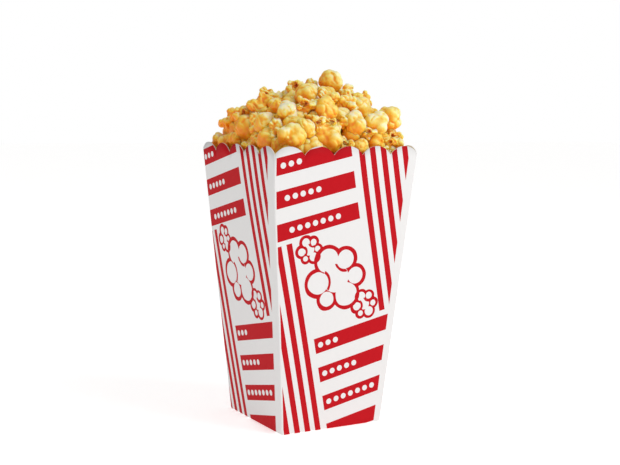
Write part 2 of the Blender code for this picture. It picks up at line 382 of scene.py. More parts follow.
def drawn_kernel(middle_along, middle_across, size):
    """The brush lines of one kernel: the edge of its bulges taken together, and arcs inside it."""
    weight = 1.0 if size > 1 else SMALL_WEIGHT
    gaps = []
    for off_along, off_across, radius in DRAWN_BULGES:
        middle = (middle_along + off_along * size, middle_across + off_across * size, 0)
        apart = node(ink, "ShaderNodeVectorMath", {0: grid, 1: middle}, operation="DISTANCE").outputs["Value"]
        gap = node(ink, "ShaderNodeMath", {0: apart, 1: radius * size}, operation="SUBTRACT")
        gaps.append(gap.outputs[0])
    nearest = gaps[0]
    for gap in gaps[1:]:
        nearest = node(ink, "ShaderNodeMath", {0: nearest, 1: gap}, operation="MINIMUM").outputs[0]
    thick = node(ink, "ShaderNodeMath", {0: half_line, 1: weight}, operation="MULTIPLY").outputs[0]
    thin = node(ink, "ShaderNodeMath", {0: thick, 1: ARC_WEIGHT}, operation="MULTIPLY").outputs[0]
    lines = [node(ink, "ShaderNodeMath", {0: nearest, 1: 0.0, 2: thick}, operation="COMPARE").outputs[0]]
    for first, second in DRAWN_ARCS:
        arc = node(ink, "ShaderNodeMath", {0: gaps[first], 1: 0.0, 2: thin}, operation="COMPARE")
        inside = -BRUSH_LINE * size * ARC_INSET
        lines.append(where((arc.outputs[0], "GREATER_THAN", 0.5), (gaps[second], "LESS_THAN", inside)))
    return lines


left_edge = node(ink, "ShaderNodeMath", {
    0: y_mm, 1: -LEFT_MARGIN[1], 2: LEFT_MARGIN[0],
}, operation="MULTIPLY_ADD")
right_edge = node(ink, "ShaderNodeMath", {
    0: y_mm, 1: RIGHT_MARGIN[1], 2: RIGHT_MARGIN[0],
}, operation="MULTIPLY_ADD")
in_left = (x_mm, "GREATER_THAN", left_edge.outputs[0])
in_right = (x_mm, "LESS_THAN", right_edge.outputs[0])
upper_phase = into_pitch(across, UPPER_BARS)
upper_bars = where(
    (upper_phase, "LESS_THAN", UPPER_BARS["thick"]),
    (across, "GREATER_THAN", UPPER_BARS["start"]),
    (across, "LESS_THAN", UPPER_BARS["top"]),
    (along, "LESS_THAN", UPPER_BARS["end"]),
    (bulbs(UPPER_BARS, upper_phase, UPPER_BULBS), "LESS_THAN", 0.5),
    in_left,
)
lower_phase = into_pitch(across, LOWER_BARS)
lower_bars = where(
    (lower_phase, "LESS_THAN", LOWER_BARS["thick"]),
    (across, "LESS_THAN", LOWER_BARS["top"]),
    (along, "GREATER_THAN", LOWER_BARS["from"]),
    (bulbs(LOWER_BARS, lower_phase, LOWER_BULBS), "LESS_THAN", 0.5),
    in_right,
)
upper_stripes = where(
    (into_pitch(along, UPPER_STRIPES), "LESS_THAN", UPPER_STRIPES["wide"]),
    (along, "GREATER_THAN", UPPER_STRIPES["start"]),
    (across, "GREATER_THAN", UPPER_STRIPES["from"]),
    in_right,
)
lower_stripes = where(
    (into_pitch(along, LOWER_STRIPES, -1), "LESS_THAN", LOWER_STRIPES["wide"]),
    (along, "LESS_THAN", LOWER_STRIPES["start"]),
    (along, "GREATER_THAN", LOWER_STRIPES["last"]),
    (across, "LESS_THAN", LOWER_STRIPES["to"]),
    in_left,
)
sway = node(ink, "ShaderNodeTexNoise", {"Vector": grid, "Scale": 1 / BRUSH_SWAY, "Detail": 1.0})
half_line = node(ink, "ShaderNodeMath", {
    0: sway.outputs["Fac"], 1: BRUSH_LINE * LINE_SWELL, 2: BRUSH_LINE * THINNEST_LINE,
}, operation="MULTIPLY_ADD").outputs[0]
drawing = [line for kernel in DRAWN_KERNELS for line in drawn_kernel(*kernel)]
printed = any_of([upper_bars, lower_bars, upper_stripes, lower_stripes, *drawing])

place = node(ink, "ShaderNodeTexCoord").outputs["Object"]
mottle = node(ink, "ShaderNodeTexNoise", {
    "Vector": place, "Scale": 1 / INK_MOTTLE, "Detail": 2.0,
}).outputs["Fac"]
red = node(ink, "ShaderNodeMix", {
    "Factor": mottle, "A": linear(THIN_RED_INK), "B": linear(RED_INK),
}, data_type="RGBA")
paper = node(ink, "ShaderNodeMix", {
    "Factor": mottle, "A": linear(DULL_WHITE), "B": linear(COATED_WHITE),
}, data_type="RGBA")
face = node(ink, "ShaderNodeMix", {
    "Factor": printed, "A": paper.outputs["Result"], "B": red.outputs["Result"],
}, data_type="RGBA")
ink.links.new(face.outputs["Result"], shader.inputs["Base Color"])
shader.inputs["Specular IOR Level"].default_value = 0.03
gloss = node(ink, "ShaderNodeMapRange", {"Value": mottle, "To Min": 0.42, "To Max": 0.50})
ink.links.new(gloss.outputs["Result"], shader.inputs["Roughness"])
fibre = node(ink, "ShaderNodeTexNoise", {"Vector": place, "Scale": 1 / CARD_FIBRE, "Detail": 2.0})
tooth = node(ink, "ShaderNodeBump", {"Height": fibre.outputs["Fac"], "Strength": 0.06, "Distance": 0.0002})
ink.links.new(tooth.outputs["Normal"], shader.inputs["Normal"])

# Uncoated paperboard, bare inside the carton and where it is cut: pressed pulp, cream and quite matt,
# with the faint cloud of its fibres.
RAW_BOARD = "#E2DED5"
PALE_PULP = "#F2EFE8"
PULP_CLOUD = 0.00111
raw_board = bpy.data.materials.new("uncoated_paperboard")
raw_board.use_nodes = True
raw = raw_board.node_tree
raw_place = node(raw, "ShaderNodeTexCoord").outputs["Object"]
pulp = node(raw, "ShaderNodeTexNoise", {"Vector": raw_place, "Scale": 1 / PULP_CLOUD, "Detail": 4.0})
raw_colour = node(raw, "ShaderNodeMix", {
    "Factor": pulp.outputs["Fac"], "A": linear(RAW_BOARD), "B": linear(PALE_PULP),
}, data_type="RGBA")
raw_shader = raw.nodes["Principled BSDF"]
raw.links.new(raw_colour.outputs["Result"], raw_shader.inputs["Base Color"])
raw_shader.inputs["Roughness"].default_value = 0.8

wall.data.materials.append(card_print)
wall.data.materials.append(raw_board)
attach(wall, "root")
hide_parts("carton")


# The carton's base: two outer flaps that meet in the middle and close over two inner ones. They are
# of the same board, folded in from the four panels and locked.
FLAP_GAP = 0.0005
FLAP_CUT = 0.014
INNER_TAPER = 0.9
INNER_LEVEL = CARD * 1.05


def flap(outline, low):
    """A flat flap of board with its lower face at this height."""
    curve = bpy.data.curves.new("flap", "CURVE")
    curve.dimensions = "2D"
    curve.fill_mode = "BOTH"
    curve.extrude = CARD / 2
    spline = curve.splines.new("POLY")
    spline.points.add(len(outline) - 1)
    for point, (x, y) in zip(spline.points, outline):
        point.co = (x, y, 0, 1)
    spline.use_cyclic_u = True
    made = bpy.data.objects.new("flap", curve)
    scene.collection.objects.link(made)
    bpy.context.view_layer.update()
    mesh = bpy.data.meshes.new_from_object(made.evaluated_get(bpy.context.evaluated_depsgraph_get()))
    bpy.data.objects.remove(made)
    mesh.transform(Matrix.Translation((0, 0, low + CARD / 2)))
    return mesh


half_base = BASE_WIDTH / 2 - FOLD_RADIUS
slot_edge = -FLAP_GAP / 2
outer_flap = (
    (-half_base, -half_base),
    (half_base, -half_base),
    (half_base, -FLAP_CUT),
    (half_base - FLAP_CUT, slot_edge),
    (FLAP_CUT - half_base, slot_edge),
    (-half_base, -FLAP_CUT),
)
inner_flap = (
    (-half_base, -half_base),
    (slot_edge, -half_base * INNER_TAPER),
    (slot_edge, half_base * INNER_TAPER),
    (-half_base, half_base),
)
base_mesh = bmesh.new()
for turn in (0, math.pi):
    for outline, low in ((outer_flap, 0.0), (inner_flap, INNER_LEVEL)):
        sheet = flap(outline, low)
        sheet.transform(Matrix.Rotation(turn, 4, "Z"))
        base_mesh.from_mesh(sheet)
bmesh.ops.remove_doubles(base_mesh, verts=base_mesh.verts, dist=WELD)
bmesh.ops.recalc_face_normals(base_mesh, faces=base_mesh.faces)
base = bpy.data.objects.new("base_flaps", bpy.data.meshes.new("base_flaps"))
base_mesh.to_mesh(base.data)
base_mesh.free()
base.data.materials.append(raw_board)
scene.collection.objects.link(base)
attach(base, "root")


# Popped kernels: corn blown out of its hull by steam into foam, as balls of foam with smaller
# bubbles on them. A mushroom is a round cap, and a butterfly has spread and curled wings.
MUSHROOM = "mushroom"
BUTTERFLY = "butterfly"
# Sizes are shares of a kernel's width, as are those of the skin below. Each kind has so many shapes,
# each of a middle ball with others round it, and "smooth" tells which shapes have shallow bubbles
FORMS = {
    MUSHROOM: {
        "shapes": 8,
        "balls": (6, 8),
        "middle": 0.36,
        "reach": (0.18, 0.25),
        "radius": (0.25, 0.31),
        "stretch": (1.25, 1.0, 0.85),
        "swell": 0.03,
        "flatness": (0.9, 1.0),
        "bubbles": 0,
        "skin": {
            "Bubble": 0.52, "Bubble depth": 0.19, "Crinkle": 0.12, "Crinkle depth": 0.040,
            "Fold": 0.55, "Fold depth": 0.040, "Heart": 0.0, "Heart depth": 0.10,
        },
        "smooth": (1, 3, 4, 7),
    },
    BUTTERFLY: {
        "shapes": 10,
        "balls": (5, 7),
        "middle": 0.28,
        "reach": (0.24, 0.32),
        "radius": (0.20, 0.27),
        "stretch": (1.2, 1.0, 0.75),
        "swell": 0.0,
        "flatness": (0.55, 0.95),
        "bubbles": 3,
        "bubble share": 0.70,
        "bubble size": (0.45, 0.72),
        "skin": {
            "Bubble": 0.36, "Bubble depth": 0.18, "Crinkle": 0.14, "Crinkle depth": 0.060,
            "Fold": 0.36, "Fold depth": 0.060, "Heart": 1.0, "Heart depth": 0.16,
        },
        "smooth": (0, 1),
    },
}
GOLDEN_ANGLE = math.pi * (3 - math.sqrt(5))
BALL_SWAY = 0.35
SWELL_SPREAD = (0.5, 1.3)
BUBBLE_STRAY = 0.9
BALL_GROWTH = 1.04
CALM = 0.4  # the share of their depth that a smooth shape's bubbles keep
SEED_STEP = 40
FOAM_VOXEL = 0.042
DRIFT = 1 / 3
BUBBLE_DRIFT = 0.25
BUBBLE_TOP = 0.35
FOLD_LINE = 0.045  # half a fold's width, in the value of its noise
FOLD_PATCHES = (0.42, 0.58)  # values of the drift between which the folds come in
HEART_DRIFT = 0.30
HEART_SPREAD = (0.86, 0.99)  # cosines from the heart's middle, at its edge and where it is open


def direction_of(height, bearing):
    """The unit vector with this height, from -1 to 1, at this bearing."""
    ring = math.sqrt(1 - height * height)
    return Vector((ring * math.cos(bearing), ring * math.sin(bearing), height))


def kernel_balls(kind, number):
    """The balls whose union is one popped kernel of about unit width, as (centre, radius)."""
    form = FORMS[kind]
    draw = random.Random(f"{kind} {number}")
    count = draw.randint(*form["balls"])
    balls = [(Vector((0, 0, 0)), form["middle"])]
    for step in range(count):
        angle = step * GOLDEN_ANGLE + draw.uniform(-BALL_SWAY, BALL_SWAY)
        direction = direction_of(1 - 2 * (step + 0.5) / count, angle)
        centre = direction * Vector(form["stretch"]) * draw.uniform(*form["reach"])
        balls.append((centre, draw.uniform(*form["radius"])))
    return balls


def with_bubbles(kind, number):
    """The same balls, with smaller bubbles blown outwards from each."""
    form = FORMS[kind]
    draw = random.Random(f"bubbles {kind} {number}")
    swell = form["swell"] * draw.uniform(*SWELL_SPREAD)
    balls = []
    for centre, radius in kernel_balls(kind, number):
        balls.append((centre - centre.normalized() * swell, radius + swell))
    for centre, radius in balls[1:]:
        for _ in range(form["bubbles"]):
            stray = direction_of(draw.uniform(-1, 1), draw.uniform(-math.pi, math.pi))
            direction = (centre.normalized() + stray * BUBBLE_STRAY).normalized()
            size = draw.uniform(*form["bubble size"])
            balls.append((centre + direction * radius * form["bubble share"], radius * size))
    return balls


def socket(tree, name, kind, in_out="INPUT"):
    """Gives a node tree a named input or output."""
    tree.interface.new_socket(name, in_out=in_out, socket_type=kind)


# The tree blows cells of bubbles out of a kernel's skin, crinkles it, presses folds into it and hollows
# its heart. It keeps the heart and the hollows between the bubbles as attributes, for their colour: the
# hollows are painted deeper gold and the bubbles' tops paler, partly as butter and partly as painted shade.
skin = bpy.data.node_groups.new("popped_skin", "GeometryNodeTree")
socket(skin, "Geometry", "NodeSocketGeometry")
for name in (*FORMS[MUSHROOM]["skin"], "Seed"):
    socket(skin, name, "NodeSocketFloat")
socket(skin, "Geometry", "NodeSocketGeometry", "OUTPUT")
given = node(skin, "NodeGroupInput")
variety = given.outputs["Seed"]
spot = node(skin, "GeometryNodeInputPosition").outputs[0]
outward = node(skin, "GeometryNodeInputNormal").outputs[0]
drift = node(skin, "ShaderNodeTexNoise", {
    "Vector": spot, "W": variety, "Scale": 1 / DRIFT, "Detail": 1.0,
}, noise_dimensions="4D")
drifted = node(skin, "ShaderNodeVectorMath", {
    0: drift.outputs["Color"], 1: (BUBBLE_DRIFT,) * 3, 2: spot,
}, operation="MULTIPLY_ADD")
bubble_scale = node(skin, "ShaderNodeMath", {0: 1.0, 1: given.outputs["Bubble"]}, operation="DIVIDE")
cells = node(skin, "ShaderNodeTexVoronoi", {
    "Vector": drifted.outputs[0], "W": variety, "Scale": bubble_scale.outputs[0],
    "Randomness": 0.9, "Smoothness": 0.04,
}, voronoi_dimensions="4D", feature="SMOOTH_F1")
squared = node(skin, "ShaderNodeMath", {0: cells.outputs["Distance"], 1: 2.0}, operation="POWER")
domed = node(skin, "ShaderNodeMath", {0: BUBBLE_TOP, 1: squared.outputs[0]}, operation="SUBTRACT")
blown = node(skin, "ShaderNodeMath", {
    0: domed.outputs[0], 1: given.outputs["Bubble depth"],
}, operation="MULTIPLY")
crinkle_scale = node(skin, "ShaderNodeMath", {0: 1.0, 1: given.outputs["Crinkle"]}, operation="DIVIDE")
crinkles = node(skin, "ShaderNodeTexNoise", {
    "Vector": spot, "W": variety, "Scale": crinkle_scale.outputs[0], "Detail": 3.0, "Roughness": 0.6,
}, noise_dimensions="4D")
centred = node(skin, "ShaderNodeMath", {0: crinkles.outputs["Fac"], 1: 0.5}, operation="SUBTRACT")
raised = node(skin, "ShaderNodeMath", {
    0: centred.outputs[0], 1: given.outputs["Crinkle depth"], 2: blown.outputs[0],
}, operation="MULTIPLY_ADD")
fold_scale = node(skin, "ShaderNodeMath", {0: 1.0, 1: given.outputs["Fold"]}, operation="DIVIDE")
fold_field = node(skin, "ShaderNodeTexNoise", {
    "Vector": spot, "W": variety, "Scale": fold_scale.outputs[0], "Detail": 0.6,
}, noise_dimensions="4D")
off_line = node(skin, "ShaderNodeMath", {0: fold_field.outputs["Fac"], 1: 0.5}, operation="SUBTRACT")
off_share = node(skin, "ShaderNodeMath", {0: off_line.outputs[0], 1: FOLD_LINE}, operation="DIVIDE")
off_squared = node(skin, "ShaderNodeMath", {
    0: off_share.outputs[0], 1: off_share.outputs[0],
}, operation="MULTIPLY")
off_minus = node(skin, "ShaderNodeMath", {0: off_squared.outputs[0], 1: -1.0}, operation="MULTIPLY")
on_line = node(skin, "ShaderNodeMath", {0: off_minus.outputs[0]}, operation="EXPONENT")
fold_patch = node(skin, "ShaderNodeMapRange", {
    "Value": drift.outputs["Fac"], "From Min": FOLD_PATCHES[0], "From Max": FOLD_PATCHES[1],
})
fold_depth = node(skin, "ShaderNodeMath", {
    0: fold_patch.outputs["Result"], 1: given.outputs["Fold depth"],
}, operation="MULTIPLY")
folded = node(skin, "ShaderNodeMath", {0: on_line.outputs[0], 1: fold_depth.outputs[0]}, operation="MULTIPLY")
creased = node(skin, "ShaderNodeMath", {0: raised.outputs[0], 1: folded.outputs[0]}, operation="SUBTRACT")
strayed = node(skin, "ShaderNodeVectorMath", {
    0: drift.outputs["Color"], 1: (HEART_DRIFT,) * 3, 2: spot,
}, operation="MULTIPLY_ADD")
centred_spot = node(skin, "ShaderNodeVectorMath", {
    0: strayed.outputs[0], 1: (HEART_DRIFT / 2,) * 3,
}, operation="SUBTRACT")
bearing = node(skin, "ShaderNodeVectorMath", {0: centred_spot.outputs[0]}, operation="NORMALIZE")
downness = node(skin, "ShaderNodeVectorMath", {0: bearing.outputs[0], 1: (0, 0, -1)}, operation="DOT_PRODUCT")
heart = node(skin, "ShaderNodeMapRange", {
    "Value": downness.outputs["Value"], "From Min": HEART_SPREAD[0], "From Max": HEART_SPREAD[1],
}, interpolation_type="SMOOTHSTEP")
open_heart = node(skin, "ShaderNodeMath", {
    0: heart.outputs["Result"], 1: given.outputs["Heart"],
}, operation="MULTIPLY")
hollow = node(skin, "ShaderNodeMath", {
    0: open_heart.outputs[0], 1: given.outputs["Heart depth"],
}, operation="MULTIPLY")
pressed = node(skin, "ShaderNodeMath", {0: creased.outputs[0], 1: hollow.outputs[0]}, operation="SUBTRACT")
shift = node(skin, "ShaderNodeVectorMath", {0: outward, "Scale": pressed.outputs[0]}, operation="SCALE")
hearted = node(skin, "GeometryNodeStoreNamedAttribute", {
    "Geometry": given.outputs["Geometry"], "Name": "heart", "Value": open_heart.outputs[0],
}, data_type="FLOAT", domain="POINT")
moved = node(skin, "GeometryNodeSetPosition", {
    "Geometry": hearted.outputs[0], "Offset": shift.outputs[0],
})
around = node(skin, "GeometryNodeBlurAttribute", {"Value": spot, "Iterations": 6}, data_type="FLOAT_VECTOR")
inset = node(skin, "ShaderNodeVectorMath", {0: around.outputs["Value"], 1: spot}, operation="SUBTRACT")
cavity = node(skin, "ShaderNodeVectorMath", {0: inset.outputs[0], 1: outward}, operation="DOT_PRODUCT")
lined = node(skin, "GeometryNodeStoreNamedAttribute", {
    "Geometry": moved.outputs[0], "Name": "cavity", "Value": cavity.outputs["Value"],
}, data_type="FLOAT", domain="POINT")
node(skin, "NodeGroupOutput", {0: lined.outputs[0]})


def plain_mesh(item):
    """The item's mesh as its modifiers leave it, and the item itself removed."""
    bpy.context.view_layer.update()
    mesh = bpy.data.meshes.new_from_object(item.evaluated_get(bpy.context.evaluated_depsgraph_get()))
    bpy.data.objects.remove(item)
    return mesh


def nodes_modifier(item, tree, values):
    """Puts a node tree on an item, with its inputs set by name."""
    modifier = item.modifiers.new(tree.name, "NODES")
    modifier.node_group = tree
    for entry in tree.interface.items_tree:
        if entry.in_out == "INPUT" and entry.name in values:
            modifier[entry.identifier] = values[entry.name]


def popped_kernel(kind, number, voxel):
    """One kernel of about unit width: its balls, some pressed flat, made one skin and crinkled."""
    draw = random.Random(f"flat {kind} {number}")
    foam = bmesh.new()
    for centre, radius in with_bubbles(kind, number):
        flatness = draw.uniform(*FORMS[kind]["flatness"])
        axis = centre.orthogonal() if centre.length else Vector((0, 0, 1))
        axis.rotate(Matrix.Rotation(draw.uniform(0, math.tau), 3, centre if centre.length else axis))
        form = Matrix.Translation(centre) @ Matrix.Scale(flatness, 4, axis) @ Matrix.Scale(BALL_GROWTH, 4)
        bmesh.ops.create_icosphere(foam, subdivisions=3, radius=radius, matrix=form)
    item = bpy.data.objects.new("foam", bpy.data.meshes.new("foam"))
    foam.to_mesh(item.data)
    foam.free()
    scene.collection.objects.link(item)
    remesh = item.modifiers.new("one_skin", "REMESH")
    remesh.mode = "VOXEL"
    remesh.voxel_size = voxel
    smooth = item.modifiers.new("soften", "SMOOTH")
    smooth.iterations = 2
    seed = float(number + SEED_STEP * (kind == BUTTERFLY))
    values = {**FORMS[kind]["skin"], "Seed": seed}
    if number in FORMS[kind]["smooth"]:
        values["Bubble depth"] *= CALM
    nodes_modifier(item, skin, values)
    mesh = plain_mesh(item)
    mesh.shade_smooth()
    return mesh


def kernel_shelf(name, kind, voxel):
    """A collection of every shape of a kind, for the heap to draw on."""
    shelf = bpy.data.collections.new(name)
    for number in range(FORMS[kind]["shapes"]):
        item = bpy.data.objects.new(f"{name}_{number:02d}", popped_kernel(kind, number, voxel))
        shelf.objects.link(item)
    return shelf


# The heap: kernels tipped in loose, lying on a dome that rises from the rim. The ones that make its
# outline and its lit side are placed one by one, and the rest fall where there is room.
HEAP_HALF = 0.050  # half the dome's width, and then its height at the edge and its rise from there
HEAP_START = 0.003
HEAP_RISE = 0.044
HEAP_POWER = 1.6
HEAP_ROUND = 0.35
CLEAR = 0.0003
LARGEST = 0.0200
SMALLEST = 0.0110
UNEVEN = 0.10
CLOSENESS = 0.375  # the least distance of two kernels, of the sum of their widths
SETTLE = 0.002
FIRST_SHAPE = 3
LEFT_SLUMP = 0.15  # the share of its height that the heap has lost on its left
SLUMP_START = 0.010
SLUMP_REACH = 0.015
PALENESS = (-0.35, 0.7)
THROWS = 5000  # how many kernels are tried, from the largest to the smallest
HALVINGS = 16
SEED = 7
# Millimetres right, back and above the rim, width, kind, and how much paler than the rest
SHOWN = (
    (14, -9, 51, 19, MUSHROOM, 0.5),
    (-13, -5, 46, 13, BUTTERFLY, 0.3),
    (-5, -11, 44, 13, MUSHROOM, 0.1),
    (22, -14, 42, 15, BUTTERFLY, 0.8),
    (-16, -25, 40, 18, MUSHROOM, 0.2),
    (-2, -32, 38, 15, BUTTERFLY, 0.5),
    (-27, 14, 40, 13, BUTTERFLY, -0.2),
    (-38, 1, 33, 19, BUTTERFLY, -0.7),
    (-35, -34, 29, 17, MUSHROOM, 1.8),
    (-23, -37, 33, 14, BUTTERFLY, 0.6),
    (-10, -41, 31, 19, MUSHROOM, -0.3),
    (9, -38, 34, 16, BUTTERFLY, 0.7),
    (-44, 22, 24, 15, BUTTERFLY, -0.8),
    (-45, 36, 20, 18, BUTTERFLY, -0.5),
    (-47, -22, 21, 16, MUSHROOM, 1.3),
    (32, -24, 37, 16, BUTTERFLY, -0.3),
    (11, -47, 21, 19, MUSHROOM, 0.5),
    (29, -46, 21, 20, MUSHROOM, 1.0),
    (44, -41, 25, 19, MUSHROOM, 0.1),
    (-40, -48, 12, 20, MUSHROOM, 0.3),
    (-29, -47, 18, 15, MUSHROOM, 0.5),
    (-10, -48, 12, 23, MUSHROOM, -0.1),
    (-49, -30, 9, 17, MUSHROOM, 0.0),
    (-50, 47, 7, 12, MUSHROOM, 0.2),
    (14, -49, 5, 15, MUSHROOM, 0.4),
    (27, -49, 8, 15, MUSHROOM, -0.8),
    (46, -48, 7, 12, MUSHROOM, 1.0),
)
FRONT = Vector((-0.45, -0.85, 0.25))
HULL_FORWARD = FRONT.to_track_quat("-Z", "Y").to_euler()
HULL_BACK = FRONT.to_track_quat("Z", "Y").to_euler()
HULLS_IN_FRONT = (1, 6, 9, 12)  # which of these turn their hull to the front, and which to the back
HULLS_BEHIND = (3, 5, 11)


def dome_level(x, y):
    """The share of the heap's rise at a place, from 0 at its edge to 1 in its middle."""
    return max((1 - abs(x) ** HEAP_POWER) * (1 - abs(y) ** HEAP_POWER), 0) ** HEAP_ROUND


def heap_height(x, y):
    """The height of the dome on which the outer kernels have their centres."""
    return RIM_HEIGHT + HEAP_START + HEAP_RISE * dome_level(x / HEAP_HALF, y / HEAP_HALF)


def inner_half(level):
    """Half the clear width inside the carton, short of the card by the gap."""
    return width_at(min(level, RIM_HEIGHT)) / 2 - (CARD + CLEAR) * SLANT


def dome_point(direction, sunk):
    """The point this far under the dome, in one direction from the middle of the rim."""
    near, far = 0, TOP_WIDTH
    for _ in range(HALVINGS):
        distance = (near + far) / 2
        point = direction * distance + Vector((0, 0, RIM_HEIGHT))
        within = max(abs(point.x), abs(point.y)) < HEAP_HALF
        if within and point.z < heap_height(point.x, point.y):
            near = distance
        else:
            far = distance
    return direction * (near - sunk) + Vector((0, 0, RIM_HEIGHT))


def heap_kernels():
    """Every outer kernel, as (centre, width, kind, number of its shape, turn, paleness)."""
    draw = random.Random(SEED)
    tints = random.Random(SEED + 1)
    kernels = []
    for x, y, z, width, kind, _ in SHOWN:
        centre = Vector((x / 1000, y / 1000, RIM_HEIGHT + z / 1000))
        kernels.append((centre, width / 1000, kind))
    for throw in range(THROWS):
        width = LARGEST + (SMALLEST - LARGEST) * throw / THROWS
        width *= draw.uniform(1 - UNEVEN, 1 + UNEVEN)
        centre = dome_point(direction_of(draw.random(), draw.uniform(-math.pi, math.pi)), SETTLE)
        kind = draw.choice((MUSHROOM, BUTTERFLY, BUTTERFLY))
        if all((centre - other).length > CLOSENESS * (width + size) for other, size, _ in kernels):
            kernels.append((centre, width, kind))
    turned = []
    for order, (centre, width, kind) in enumerate(kernels):
        if order >= len(SHOWN):
            leftness = min(max((SLUMP_START - centre.x) / SLUMP_REACH, 0), 1)
            centre.z -= LEFT_SLUMP * leftness * (centre.z - RIM_HEIGHT)
        number = (order + FIRST_SHAPE) % FORMS[kind]["shapes"]
        turn = Euler([draw.uniform(-math.pi, math.pi) for _ in range(3)])
        if order in HULLS_IN_FRONT:
            turn = HULL_FORWARD
        if order in HULLS_BEHIND:
            turn = HULL_BACK
        paleness = SHOWN[order][5] if order < len(SHOWN) else tints.uniform(*PALENESS)
        turned.append((centre, width, kind, number, turn, paleness))
    return turned


def shifted_in(centre, width, turn, mesh):
    """The centre, moved inwards where the kernel would otherwise meet the card."""
    matrix = turn.to_matrix() * width
    spots = [matrix @ vertex.co for vertex in mesh.vertices]
    limit = inner_half(RIM_HEIGHT) - CLEAR
    moved = centre.copy()
    for axis in range(2):
        low = centre[axis] + min(spot[axis] for spot in spots)
        high = centre[axis] + max(spot[axis] for spot in spots)
        moved[axis] += max(0, -limit - low) - max(0, high - limit)
    top = centre.z + max(spot.z for spot in spots)
    moved.z -= max(0, top - cad_box[1][2])
    return moved


# The tree sets a shape on each of the heap's points, turned and as wide as the point says. It keeps
# how far a surface faces away from both the lamp's side and a pale side behind, for painted shade:
# the sides turned away from both are painted deeper gold.
# The lit side faces the lamp and stays pale, and surfaces turned away from it are painted deeper gold:
# painted shade. Surfaces facing the pale side behind are kept pale as well.
PAINTED_LIT_SIDE = (0.48, -0.28, 0.83)
PALE_BACK_SIDE = (0.92, 0.49, 0.73)
SIDE_SHADE_REACH = (0.6, -0.8)  # how far a surface faces them, at the start and the end of its deepening
heap = bpy.data.node_groups.new("heap_of_kernels", "GeometryNodeTree")
socket(heap, "Geometry", "NodeSocketGeometry")
socket(heap, "Kernels", "NodeSocketCollection")
socket(heap, "Finish", "NodeSocketMaterial")
socket(heap, "Geometry", "NodeSocketGeometry", "OUTPUT")
asked = node(heap, "NodeGroupInput")
choice = node(heap, "GeometryNodeCollectionInfo", {
    "Collection": asked.outputs["Kernels"], "Separate Children": True, "Reset Children": True,
})
which = node(heap, "GeometryNodeInputNamedAttribute", {"Name": "shape"}, data_type="INT")
turned = node(heap, "GeometryNodeInputNamedAttribute", {"Name": "turn"}, data_type="FLOAT_VECTOR")
wide = node(heap, "GeometryNodeInputNamedAttribute", {"Name": "width"}, data_type="FLOAT")
tipped = node(heap, "FunctionNodeEulerToRotation", {0: turned.outputs["Attribute"]})
copies = node(heap, "GeometryNodeInstanceOnPoints", {
    "Points": asked.outputs["Geometry"], "Instance": choice.outputs[0], "Pick Instance": True,
    "Instance Index": which.outputs["Attribute"], "Rotation": tipped.outputs[0],
    "Scale": wide.outputs["Attribute"],
})
real = node(heap, "GeometryNodeRealizeInstances", {0: copies.outputs[0]})
outward = node(heap, "GeometryNodeInputNormal").outputs[0]
facing_lit_side = node(heap, "ShaderNodeVectorMath", {0: outward, 1: PAINTED_LIT_SIDE}, operation="DOT_PRODUCT")
facing_pale_back = node(heap, "ShaderNodeVectorMath", {0: outward, 1: PALE_BACK_SIDE}, operation="DOT_PRODUCT")
facing = node(heap, "ShaderNodeMath", {
    0: facing_lit_side.outputs["Value"], 1: facing_pale_back.outputs["Value"],
}, operation="MAXIMUM")
side_shade_share = node(heap, "ShaderNodeMapRange", {
    "Value": facing.outputs[0], "From Min": SIDE_SHADE_REACH[0], "From Max": SIDE_SHADE_REACH[1],
})
shaded = node(heap, "GeometryNodeStoreNamedAttribute", {
    "Geometry": real.outputs[0], "Name": "underside", "Value": side_shade_share.outputs["Result"],
}, data_type="FLOAT", domain="POINT")
finished = node(heap, "GeometryNodeSetMaterial", {
    "Geometry": shaded.outputs[0], "Material": asked.outputs["Finish"],
})
node(heap, "NodeGroupOutput", {0: finished.outputs[0]})

# Buttered popcorn: dry starch foam, matt and slightly translucent, and deep gold where the butter lies
# on it in patches. It is cream where it blew out furthest and deep gold in its folds, partly as the butter
# gathers there and partly as painted shade, and the sides turned away from the lamp are painted deep
# gold: painted shade.
PALE_CREAM = "#FFEFC6"
CREAM = "#FCE07C"
BUTTER = "#FABD2A"
GOLD = "#F59412"
AMBER = "#E8902C"
HULL = "#C4541A"
CREAM_STOP = 0.78
BUTTER_STOP = 0.42
BUTTER_PATCH = 0.0133
FINE_PATCH = 0.00556
TOAST_FLECK = 0.00238
FOAM_GRAIN = 0.000714
PATCH_WEIGHT = 0.6
SIDE_SHADE_WEIGHT = 1.0
TINT_WEIGHT = 0.22
FINE_WEIGHT = 0.28
DEEPENING = 0.20
TOAST_WEIGHT = 0.9
BUBBLE_WEIGHT = 0.60
HOLLOW_DEPTHS = (0.018, -0.010)  # from a hollow's bottom to a bubble's top
AMBER_TOAST = (0.60, 1.05)
HULL_TOAST = (1.20, 1.42)
popped_corn = bpy.data.materials.new("buttered_popped_corn")
popped_corn.use_nodes = True
corn = popped_corn.node_tree
corn_shader = corn.nodes["Principled BSDF"]
corn_place = node(corn, "ShaderNodeTexCoord").outputs["Object"]
cavities = node(corn, "ShaderNodeAttribute", attribute_name="cavity").outputs["Fac"]
hearts = node(corn, "ShaderNodeAttribute", attribute_name="heart").outputs["Fac"]
tints = node(corn, "ShaderNodeAttribute", attribute_name="tint").outputs["Fac"]
painted_side_shades = node(corn, "ShaderNodeAttribute", attribute_name="underside").outputs["Fac"]
